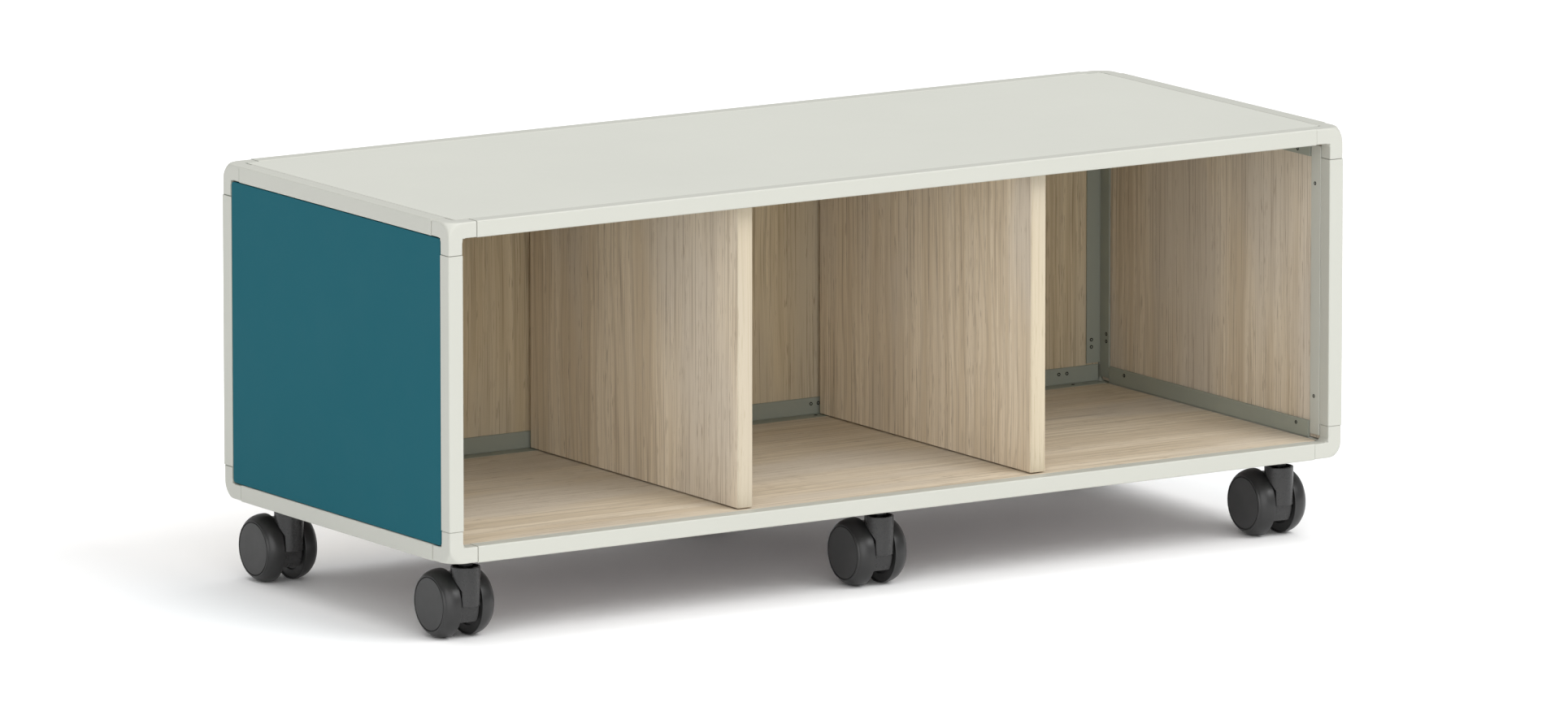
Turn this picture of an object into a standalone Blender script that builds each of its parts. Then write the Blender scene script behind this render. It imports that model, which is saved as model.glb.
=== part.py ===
"""Low mobile shelf unit: tube frame, cast corners, panels, two dividers, six swivel twin castors."""
import math

import bmesh
import bpy
from mathutils import Matrix, Vector

# Driving dimensions, metres. The frame box stands on the castors, front towards -Y.
WIDTH = 1.200
DEPTH = 0.4875
FRAME_HEIGHT = 0.3845
LIFT = 0.0963

TUBE = 0.019
WALL = 0.002
TUBE_EDGE = 0.0015
LEG = 0.0375
GAP = 0.0003

FIN = 0.002
FIN_REACH = 0.0375
FIN_REACH_FLAT = 0.0385
FIN_START = 0.0192
ROOT_DEPTH = 0.0010
ROOT_OFFSET = 0.0001
ROOT_THICK = 0.0006
FIN_LONG_END = 0.0215
FIN_SIDE_END = 0.0395
FIN_POST_END = 0.0240
FIN_BACK_END = 0.0405
SUPPORT_REACH = 0.0320
LEDGE_REACH = 0.0358

CORNER_INSET = 0.0005
CORNER_EDGE = 0.0012
CORNER_ROUND = 0.0220
CORNER_FILLET = 0.0050
SPIGOT = 0.0144
SPIGOT_LENGTH = 0.020

PANEL_EDGE = 0.0198
PANEL_CORNER = 0.0042
PANEL_INNER = 0.0166
SKIN_OUTER = 0.0006
SKIN_INNER = 0.0082
FLOOR_TOP = 0.0187
FLOOR_UNDER = 0.0023
FLOOR_SIDE = 0.0215
FLOOR_BACK = 0.0362

DIVIDER_THICK = 0.0205
DIVIDER_OFFSET = 0.197
DIVIDER_FRONT = 0.0240
DIVIDER_BACK = 0.0230
DIVIDER_FOOT = 0.0200
DIVIDER_HEAD = 0.0193
DIVIDER_EDGE = 0.0010

CASTOR_INSET_X = 0.0520
CASTOR_INSET_FRONT = 0.0515
CASTOR_INSET_BACK = 0.0555
TRAIL = 0.0245
AXLE_DROP = 0.0573
BOSS_RADIUS = 0.0168
BOSS_TOP_DROP = 0.0130
BOSS_CUP_RADIUS = 0.0145
BOSS_CUP_DEPTH = 0.0050
BOSS_FLAT = 0.0115
BARREL_RADIUS = 0.0345
BARREL_HALF = 0.0112
BARREL_FLOOR_DROP = 0.0190
WHEEL_RADIUS = 0.0390
WHEEL_CLEARANCE = 0.0408
WHEEL_INNER = 0.0135
WHEEL_OUTER = 0.0330
WHEEL_RECESS_RADIUS = 0.0280
WHEEL_RECESS = 0.0172
STEM_RADIUS = 0.0055
STEM_DROP = 0.0440
COLLAR_RADIUS = 0.0080
COLLAR_DROP = 0.0125
PLATE_HALF = 0.0190
PLATE_UNDER = 0.0003
AXLE_RADIUS = 0.0040
AXLE_HALF = 0.0280
RUNNING_GAP = 0.00008

ROUND_STEPS = 24
THIN_STEPS = 16
ROOM_STEPS = 36
WHEEL_STEPS = 24
SPHERE_STEPS = 28

OVERHANG = TRAIL + WHEEL_RADIUS - CASTOR_INSET_BACK
CENTRE = Vector((WIDTH / 2, (DEPTH + OVERHANG) / 2, -LIFT))


def clear_scene():
    """Remove every object and leave an empty scene."""
    for item in list(bpy.data.objects):
        bpy.data.objects.remove(item, do_unlink=True)


def collection(name):
    """Make a collection under the scene."""
    made = bpy.data.collections.new(name)
    bpy.context.scene.collection.children.link(made)
    return made


clear_scene()
PARTS = collection("mobile_shelf_unit")
CUTTERS = collection("cutters")


def material(name, colour, roughness, metallic):
    """A plain surface material."""
    made = bpy.data.materials.new(name)
    made.use_nodes = True
    shader = made.node_tree.nodes["Principled BSDF"]
    shader.inputs["Base Color"].default_value = (*colour, 1.0)
    shader.inputs["Roughness"].default_value = roughness
    shader.inputs["Metallic"].default_value = metallic
    return made


PAINT = (0.72, 0.73, 0.68)
TEAL = (0.026, 0.125, 0.150)
WOOD = (0.40, 0.32, 0.23)
EDGE_WOOD = (0.62, 0.53, 0.42)
BLACK = (0.035, 0.035, 0.036)
STEEL = (0.55, 0.55, 0.56)


def add_object(name, bm, centre, group):
    """Turn a bmesh into an object placed at a point of the frame box."""
    mesh = bpy.data.meshes.new(name)
    bm.to_mesh(mesh)
    bm.free()
    made = bpy.data.objects.new(name, mesh)
    made.location = Vector(centre) - CENTRE
    group.objects.link(made)
    if group is CUTTERS:
        made.hide_render = True
        made.display_type = "WIRE"
    return made


def finish(item, colour, roughness=0.5, metallic=0.0):
    """Give a part its own material."""
    item.data.materials.clear()
    item.data.materials.append(material(item.name + "_finish", colour, roughness, metallic))
    return item


def bevel(item, width, segments=2):
    """Round the edges of a part."""
    step = item.modifiers.new("rounded_edges", "BEVEL")
    step.width = width
    step.segments = segments
    step.limit_method = "ANGLE"
    return item


def boolean(item, tool, operation):
    """Cut or join a part with a tool."""
    step = item.modifiers.new(tool.name, "BOOLEAN")
    step.operation = operation
    step.solver = "EXACT"
    step.object = tool
    return item


def box_mesh(size):
    """A cube of the given size about its own centre."""
    bm = bmesh.new()
    bmesh.ops.create_cube(bm, size=1.0)
    bmesh.ops.scale(bm, vec=size, verts=bm.verts)
    return bm


def box(name, low, high, group=PARTS):
    """A box between two corners of the frame box's space."""
    low, high = Vector(low), Vector(high)
    return add_object(name, box_mesh(high - low), (low + high) / 2, group)


def cylinder(name, centre, radius, length, axis, group=CUTTERS, steps=ROUND_STEPS):
    """A closed cylinder about a centre, along X, Y or Z."""
    bm = bmesh.new()
    bmesh.ops.create_cone(
        bm, cap_ends=True, segments=steps, radius1=radius, radius2=radius, depth=length)
    turn = {"X": Matrix.Rotation(math.pi / 2, 3, "Y"), "Z": Matrix.Identity(3)}[axis]
    bmesh.ops.rotate(bm, matrix=turn, verts=bm.verts)
    return add_object(name, bm, centre, group)


def mirror_span(low, high, size, flip):
    """Turn a span measured from the low side into one measured from the far side."""
    return (size - high, size - low) if flip else (low, high)


def placed(spans, flips):
    """Corners of a box from three spans, each measured from its own side of the frame."""
    sizes = (WIDTH, DEPTH, FRAME_HEIGHT)
    ends = [mirror_span(*span, size, flip) for span, size, flip in zip(spans, sizes, flips)]
    return [end[0] for end in ends], [end[1] for end in ends]


def tube(name, spans, flips, run):
    """A square hollow tube; run is the axis it lies along, 0 to 2."""
    low, high = placed(spans, flips)
    body = bevel(box(name, low, high), TUBE_EDGE)
    inner_low = [value + WALL for value in low]
    inner_high = [value - WALL for value in high]
    inner_low[run] -= 2 * WALL
    inner_high[run] += 2 * WALL
    hollow = box(name + "_hollow", inner_low, inner_high, CUTTERS)
    return boolean(body, hollow, "DIFFERENCE")


def add_fin(item, label, spans, flips, run, depth):
    """Join a flat fin to a tube; run is the tube's axis and depth the axis across the fin."""
    fin = box(item.name + label, *placed(spans, flips), CUTTERS)
    root = list(spans)
    size = (WIDTH, DEPTH, FRAME_HEIGHT)[run]
    root[run] = full(size, LEG + 2 * GAP)
    root[3 - run - depth] = (TUBE - ROOT_DEPTH, TUBE + ROOT_DEPTH)
    near = spans[depth][1] - ROOT_THICK if spans[depth][0] < WALL else spans[depth][0]
    root[depth] = (near + ROOT_OFFSET, near + ROOT_OFFSET + ROOT_THICK)
    strip = box(item.name + label + "_root", *placed(root, flips), CUTTERS)
    boolean(item, fin, "UNION")
    return boolean(item, strip, "UNION")


def inner_span():
    """Depth of a fin that lies in the plane of a tube's inner face."""
    return (TUBE - FIN, TUBE)


def full(size, end):
    """A span that leaves the same distance at both ends."""
    return (end, size - end)


def long_rails():
    """Four rails along X: front and back, bottom and top."""
    run = full(WIDTH, LEG)
    fin_run = full(WIDTH, FIN_LONG_END)
    side = (0.0, TUBE)
    flat = (FIN_START, FIN_REACH)
    front_bottom = tube("front_bottom_rail", (run, side, side), (0, 0, 0), 0)
    support = (fin_run, (FIN_START, SUPPORT_REACH), (0.0, FIN))
    add_fin(front_bottom, "_support", support, (0, 0, 0), 0, 2)
    front_top = tube("front_top_rail", (run, side, side), (0, 0, 1), 0)
    add_fin(front_top, "_top_fin", (fin_run, flat, inner_span()), (0, 0, 1), 0, 2)
    back_bottom = tube("back_bottom_rail", (run, side, side), (0, 1, 0), 0)
    upright = (fin_run, inner_span(), (FIN_START, FIN_REACH_FLAT))
    add_fin(back_bottom, "_back_fin", upright, (0, 1, 0), 0, 1)
    ledge = (fin_run, (FIN_START, LEDGE_REACH), inner_span())
    add_fin(back_bottom, "_ledge", ledge, (0, 1, 0), 0, 2)
    back_top = tube("back_top_rail", (run, side, side), (0, 1, 1), 0)
    add_fin(back_top, "_back_fin", upright, (0, 1, 1), 0, 1)
    add_fin(back_top, "_top_fin", (fin_run, flat, inner_span()), (0, 1, 1), 0, 2)
    return [front_bottom, front_top, back_bottom, back_top]


def side_rails():
    """Four rails along Y: left and right, bottom and top."""
    made = []
    run = full(DEPTH, LEG)
    fin_run = full(DEPTH, FIN_SIDE_END)
    side = (0.0, TUBE)
    for label, flip in (("left", 0), ("right", 1)):
        upright = (inner_span(), fin_run, (FIN_START, FIN_REACH_FLAT))
        bottom = tube(label + "_bottom_rail", (side, run, side), (flip, 0, 0), 1)
        add_fin(bottom, "_side_fin", upright, (flip, 0, 0), 1, 0)
        support = ((FIN_START, SUPPORT_REACH), fin_run, (0.0, FIN))
        add_fin(bottom, "_support", support, (flip, 0, 0), 1, 2)
        top = tube(label + "_top_rail", (side, run, side), (flip, 0, 1), 1)
        add_fin(top, "_side_fin", upright, (flip, 0, 1), 1, 0)
        flat = ((FIN_START, FIN_REACH), fin_run, inner_span())
        add_fin(top, "_top_fin", flat, (flip, 0, 1), 1, 2)
        made += [bottom, top]
    return made


def posts():
    """Four upright posts, each with a fin for its side panel; the back pair hold the back too."""
    made = []
    run = full(FRAME_HEIGHT, LEG)
    side = (0.0, TUBE)
    reach = (FIN_START, FIN_REACH)
    for label, flip in (("left", 0), ("right", 1)):
        for place, back in (("front", 0), ("back", 1)):
            post = tube(f"{place}_{label}_post", (side, side, run), (flip, back, 0), 2)
            fin_run = full(FRAME_HEIGHT, FIN_POST_END)
            add_fin(post, "_side_fin", (inner_span(), reach, fin_run), (flip, back, 0), 2, 0)
            if back:
                back_run = full(FRAME_HEIGHT, FIN_BACK_END)
                back_fin = (reach, inner_span(), back_run)
                add_fin(post, "_back_fin", back_fin, (flip, back, 0), 2, 1)
            made.append(post)
    return made


def axis_spans(axis, along, across):
    """Low and high corners of a bar from the corner along one axis."""
    low = [across[0]] * 3
    high = [across[1]] * 3
    low[axis], high[axis] = along
    return low, high


def corner_opening(axis):
    """The space between two legs, along the third axis, with a rounded inner edge."""
    start = TUBE - CORNER_INSET
    low, high = Vector([start] * 3), Vector([LEG + FIN] * 3)
    low[axis] = -FIN
    bm = box_mesh(high - low)
    middle = (low + high) / 2
    inner = [edge for edge in bm.edges if all(
        vert.co[other] < 0 for vert in edge.verts for other in range(3) if other != axis)]
    bmesh.ops.bevel(bm, geom=inner, offset=CORNER_FILLET, segments=5, affect="EDGES", profile=0.5)
    return add_object("corner_opening_%d" % axis, bm, middle, CUTTERS)


def corner_nose():
    """The tool that rounds the outermost point of a corner casting."""
    nose = box("corner_nose", [-FIN] * 3, [CORNER_ROUND] * 3, CUTTERS)
    bm = bmesh.new()
    radius = (CORNER_ROUND - CORNER_INSET) * math.sqrt(2)
    bmesh.ops.create_uvsphere(
        bm, u_segments=SPHERE_STEPS, v_segments=SPHERE_STEPS // 2, radius=radius)
    ball = add_object("corner_ball", bm, [CORNER_ROUND] * 3, CUTTERS)
    return boolean(nose, ball, "DIFFERENCE")


def corner_mesh():
    """One corner casting: three legs, three inner webs, a rounded nose and three spigots."""
    low, high = Vector([CORNER_INSET] * 3), Vector([LEG - GAP] * 3)
    bm = box_mesh(high - low)
    outer = [edge for edge in bm.edges
             if sum(abs(a.co[i] + (high - low)[i] / 2) < GAP for a in edge.verts
                    for i in range(3)) >= 5]
    bmesh.ops.bevel(bm, geom=outer, offset=CORNER_EDGE, segments=2, affect="EDGES", profile=0.5)
    body = add_object("corner_body", bm, (low + high) / 2, CUTTERS)
    for axis in range(3):
        boolean(body, corner_opening(axis), "DIFFERENCE")
    boolean(body, corner_nose(), "DIFFERENCE")
    middle = TUBE / 2
    thick = (middle - SPIGOT / 2, middle + SPIGOT / 2)
    for axis in range(3):
        spigot = box("corner_spigot_%d" % axis,
                     *axis_spans(axis, (LEG - SPIGOT_LENGTH / 2, LEG + SPIGOT_LENGTH), thick),
                     CUTTERS)
        boolean(body, spigot, "UNION")
    graph = bpy.context.evaluated_depsgraph_get()
    mesh = bpy.data.meshes.new_from_object(body.evaluated_get(graph))
    mesh.transform(Matrix.Translation(body.location + CENTRE))
    bm = bmesh.new()
    bm.from_mesh(mesh)
    bmesh.ops.remove_doubles(bm, verts=bm.verts, dist=0.00002)
    bm.to_mesh(mesh)
    bm.free()
    return mesh


def corner_turn(signs):
    """The rotation that points the three legs along the signed axes."""
    turn = Matrix.Diagonal(Vector(signs))
    if signs[0] * signs[1] * signs[2] < 0:
        turn = turn @ Matrix(((0, 1, 0), (1, 0, 0), (0, 0, 1)))
    return turn.to_4x4()


def corners():
    """Eight corner castings that share one shape, turned to their corners."""
    shape = corner_mesh()
    made = []
    for level, sz in (("bottom", 1), ("top", -1)):
        for place, sy in (("front", 1), ("back", -1)):
            for label, sx in (("left", 1), ("right", -1)):
                mesh = shape.copy()
                item = bpy.data.objects.new(f"{place}_{label}_{level}_corner", mesh)
                point = Vector((WIDTH * (sx < 0), DEPTH * (sy < 0), FRAME_HEIGHT * (sz < 0)))
                item.matrix_world = Matrix.Translation(point - CENTRE) @ corner_turn((sx, sy, sz))
                PARTS.objects.link(item)
                made.append(item)
    return made


def panel(name, low, high, normal, radius):
    """A flat board with rounded corners; normal is the axis across its thickness."""
    low, high = Vector(low), Vector(high)
    bm = box_mesh(high - low)
    edges = [edge for edge in bm.edges
             if abs(abs((edge.verts[0].co - edge.verts[1].co).normalized()[normal]) - 1) < 0.01]
    bmesh.ops.bevel(bm, geom=edges, offset=radius, segments=3, affect="EDGES", profile=0.5)
    return add_object(name, bm, (low + high) / 2, PARTS)


def panels():
    """Top, floor and back boards and the two-layer side panels."""
    edge_x = full(WIDTH, PANEL_EDGE)
    edge_y = full(DEPTH, PANEL_EDGE)
    edge_z = full(FRAME_HEIGHT, PANEL_EDGE)
    top_z = (FRAME_HEIGHT - PANEL_INNER, FRAME_HEIGHT - GAP)
    top = panel("top_panel", *zip(edge_x, edge_y, top_z), 2, PANEL_CORNER)
    floor_spans = (full(WIDTH, FLOOR_SIDE), (PANEL_EDGE, DEPTH - FLOOR_BACK),
                   (FLOOR_UNDER, FLOOR_TOP))
    floor = panel("floor_board", *zip(*floor_spans), 2, PANEL_CORNER)
    back_y = (DEPTH - PANEL_INNER, DEPTH - SKIN_OUTER)
    back = panel("back_panel", *zip(edge_x, back_y, edge_z), 1, PANEL_CORNER)
    finish(top, PAINT, 0.45)
    finish(floor, WOOD, 0.5)
    finish(back, WOOD, 0.5)
    for label, flip in (("left", 0), ("right", 1)):
        skin = placed(((SKIN_OUTER, SKIN_INNER), edge_y, edge_z), (flip, 0, 0))
        finish(panel(label + "_side_panel", *skin, 0, PANEL_CORNER), TEAL, 0.45)
        lining = placed(((SKIN_INNER + GAP, PANEL_INNER), edge_y, edge_z), (flip, 0, 0))
        finish(panel(label + "_side_lining", *lining, 0, PANEL_CORNER), WOOD, 0.5)


def dividers():
    """Two upright boards that part the unit into three equal bays."""
    for label, side in (("left", -1), ("right", 1)):
        middle = WIDTH / 2 + side * DIVIDER_OFFSET
        low = (middle - DIVIDER_THICK / 2, DIVIDER_FRONT, DIVIDER_FOOT)
        high = (middle + DIVIDER_THICK / 2, DEPTH - DIVIDER_BACK, FRAME_HEIGHT - DIVIDER_HEAD)
        board = bevel(box(label + "_divider", low, high), DIVIDER_EDGE, 1)
        finish(board, EDGE_WOOD, 0.5)


def castor_mount(name, spot):
    """The fixed plate, collar and stem under the floor board."""
    x, y = spot
    low = (x - PLATE_HALF, y - PLATE_HALF, -PLATE_UNDER)
    high = (x + PLATE_HALF, y + PLATE_HALF, FLOOR_UNDER - GAP)
    plate = box(name + "_mount", low, high)
    length = COLLAR_DROP + FIN / 2
    collar = cylinder(name + "_collar", (x, y, FIN / 2 - length / 2), COLLAR_RADIUS, length, "Z")
    boolean(plate, collar, "UNION")
    length = STEM_DROP + FIN / 2
    stem = cylinder(name + "_stem", (x, y, FIN / 2 - length / 2), STEM_RADIUS, length, "Z")
    return finish(boolean(plate, stem, "UNION"), STEEL, 0.35, 1.0)


def castor_fork(name, spot):
    """The swivelling body: an upright boss with a cup on top, joined to a barrel on the axle."""
    x, y = spot
    boss_length = AXLE_DROP - BOSS_TOP_DROP
    middle_z = -AXLE_DROP + boss_length / 2
    boss = cylinder(name + "_fork", (x, y, middle_z), BOSS_RADIUS, boss_length, "Z", PARTS)
    for side in (-1, 1):
        reach = 0.02
        centre = (x + side * (BOSS_FLAT + reach / 2), y + TRAIL, -AXLE_DROP)
        label = "_wheel_room_%s" % ("left" if side < 0 else "right")
        boolean(boss, cylinder(name + label, centre, WHEEL_CLEARANCE, reach, "X",
                               steps=ROOM_STEPS),
                "DIFFERENCE")
    centre = (x, y + TRAIL, -AXLE_DROP)
    barrel = cylinder(name + "_barrel", centre, BARREL_RADIUS, 2 * BARREL_HALF, "X")
    floor_z = -AXLE_DROP - BARREL_FLOOR_DROP
    below = box(name + "_below", (x - 2 * BARREL_HALF, y - BARREL_RADIUS, floor_z - BARREL_RADIUS),
                (x + 2 * BARREL_HALF, y + TRAIL + 2 * BARREL_RADIUS, floor_z), CUTTERS)
    boolean(barrel, below, "DIFFERENCE")
    boolean(boss, barrel, "UNION")
    cup = cylinder(name + "_cup", (x, y, -BOSS_TOP_DROP), BOSS_CUP_RADIUS, 2 * BOSS_CUP_DEPTH, "Z")
    boolean(boss, cup, "DIFFERENCE")
    depth = STEM_DROP + 2 * GAP - BOSS_TOP_DROP
    bore = cylinder(name + "_stem_bore", (x, y, -BOSS_TOP_DROP - depth / 2),
                    STEM_RADIUS + RUNNING_GAP, depth, "Z")
    boolean(boss, bore, "DIFFERENCE")
    axle_bore = cylinder(name + "_axle_bore", centre, AXLE_RADIUS + RUNNING_GAP,
                         2 * AXLE_HALF, "X", steps=THIN_STEPS)
    boolean(boss, axle_bore, "DIFFERENCE")
    return finish(boss, BLACK, 0.5)


def wheel_profile():
    """Half section of a wheel, from the middle of its outer face round to its bore."""
    width = WHEEL_OUTER - WHEEL_INNER
    recess = WHEEL_RECESS - WHEEL_INNER
    bore = AXLE_RADIUS + RUNNING_GAP
    bore_end = width - (AXLE_HALF + GAP - WHEEL_INNER)
    radius = WHEEL_RADIUS
    return (
        (0.0, 0.0), (0.0326, 0.0), (0.0341, -0.0013), (0.0365, -0.0060), (0.0381, -0.0110),
        (radius, -0.0165), (0.0386, -width), (WHEEL_RECESS_RADIUS, -width),
        (WHEEL_RECESS_RADIUS, -width + recess), (bore, -width + recess), (bore, -bore_end),
        (0.0, -bore_end))


def wheel_mesh():
    """A wheel turned about its own axle line, outer face towards +Z."""
    bm = bmesh.new()
    last = None
    for radius, height in wheel_profile():
        vert = bm.verts.new((radius, 0.0, height))
        if last is not None:
            bm.edges.new((last, vert))
        last = vert
    mesh = bpy.data.meshes.new("wheel_section")
    bm.to_mesh(mesh)
    bm.free()
    return mesh


def castor_wheels(name, spot):
    """Two wheels, one each side of the barrel, outer faces outward."""
    x, y = spot
    for label, side in (("left", -1), ("right", 1)):
        item = bpy.data.objects.new(f"{name}_{label}_wheel", wheel_mesh())
        PARTS.objects.link(item)
        point = Vector((x + side * WHEEL_OUTER, y + TRAIL, -AXLE_DROP))
        turn = Matrix.Rotation(side * math.pi / 2, 4, "Y")
        item.matrix_world = Matrix.Translation(point - CENTRE) @ turn
        step = item.modifiers.new("turned", "SCREW")
        step.steps = WHEEL_STEPS
        step.render_steps = WHEEL_STEPS
        step.use_merge_vertices = True
        step.merge_threshold = 0.00005
        step.use_normal_calculate = True
        finish(item, BLACK, 0.55)


def castor_axle(name, spot):
    """The steel axle through the barrel and both wheels."""
    x, y = spot
    point = (x, y + TRAIL, -AXLE_DROP)
    axle = cylinder(name + "_axle", point, AXLE_RADIUS, 2 * AXLE_HALF, "X", PARTS, THIN_STEPS)
    return finish(axle, STEEL, 0.3, 1.0)


def castors():
    """Six twin-wheel swivel castors in two rows of three."""
    for place, y in (("front", CASTOR_INSET_FRONT), ("back", DEPTH - CASTOR_INSET_BACK)):
        for label, x in (("left", CASTOR_INSET_X), ("mid", WIDTH / 2),
                         ("right", WIDTH - CASTOR_INSET_X)):
            name = f"{place}_{label}_castor"
            castor_mount(name, (x, y))
            castor_fork(name, (x, y))
            castor_axle(name, (x, y))
            castor_wheels(name, (x, y))


def shade(item):
    """Smooth the round faces and keep the sharp edges sharp."""
    bpy.context.view_layer.objects.active = item
    item.data.shade_smooth()
    item.data.set_sharp_from_angle(angle=math.radians(35))


def main():
    """Build every part."""
    for item in long_rails() + side_rails() + posts() + corners():
        finish(item, PAINT, 0.42)
    panels()
    dividers()
    castors()
    for item in PARTS.objects:
        shade(item)


main()
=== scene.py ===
"""Low mobile shelf unit on six twin-wheel castors: its looks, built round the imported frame."""

import logging
import math
from dataclasses import dataclass, field
from enum import Enum
from typing import Iterable, Sequence

import bmesh
import bpy
import numpy as np
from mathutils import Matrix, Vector


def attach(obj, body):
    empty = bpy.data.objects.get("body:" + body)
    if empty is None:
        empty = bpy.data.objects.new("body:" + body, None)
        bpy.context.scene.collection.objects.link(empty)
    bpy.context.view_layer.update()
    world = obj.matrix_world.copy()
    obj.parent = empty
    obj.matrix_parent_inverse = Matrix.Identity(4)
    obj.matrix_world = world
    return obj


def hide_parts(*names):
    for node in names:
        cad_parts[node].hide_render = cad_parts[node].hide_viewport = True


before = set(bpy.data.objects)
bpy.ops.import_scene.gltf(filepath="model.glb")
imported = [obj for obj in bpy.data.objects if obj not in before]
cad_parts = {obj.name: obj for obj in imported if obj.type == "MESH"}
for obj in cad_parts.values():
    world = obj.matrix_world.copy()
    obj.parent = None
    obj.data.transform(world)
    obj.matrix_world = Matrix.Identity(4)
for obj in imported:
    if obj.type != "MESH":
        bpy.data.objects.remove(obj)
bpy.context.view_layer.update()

LOG = logging.getLogger("shelf_unit")

Point = tuple[float, float, float]
Span = tuple[float, float]
Colour = tuple[float, float, float]

# Places are metres from the tube frame's front left bottom corner: x right, y back, z up.
WIDTH = 1.2
DEPTH = 0.4875
HEIGHT = 0.3845
LIFT = 0.0963
MIDDLE_Y = 0.24775
ORIGIN = np.array([WIDTH / 2, MIDDLE_Y, -LIFT])
SIZES = (WIDTH, DEPTH, HEIGHT)
TUBE = 0.019
LEG = 0.0375
CABINET = "cabinet"

# How squarely a face has to look one way to take another finish, 0 to 1.
SQUARELY = 0.8
BROADLY = 0.3


# ---------------------------------------------------------------- shader expressions


class Sock:
    """One shader value that takes part in Python arithmetic."""

    def __init__(self, graph: "Graph", socket: bpy.types.NodeSocket) -> None:
        """Keep the socket and the graph it belongs to."""
        self.graph = graph
        self.socket = socket

    def __add__(self, other: "Sock | float") -> "Sock":
        """Sum of two values."""
        return self.graph.math("ADD", self, other)

    def __sub__(self, other: "Sock | float") -> "Sock":
        """Difference of two values."""
        return self.graph.math("SUBTRACT", self, other)

    def __mul__(self, other: "Sock | float") -> "Sock":
        """Product of two values."""
        return self.graph.math("MULTIPLY", self, other)

    def __rsub__(self, other: float) -> "Sock":
        """A number less this value."""
        return self.graph.math("SUBTRACT", other, self)

    __radd__ = __add__


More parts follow.
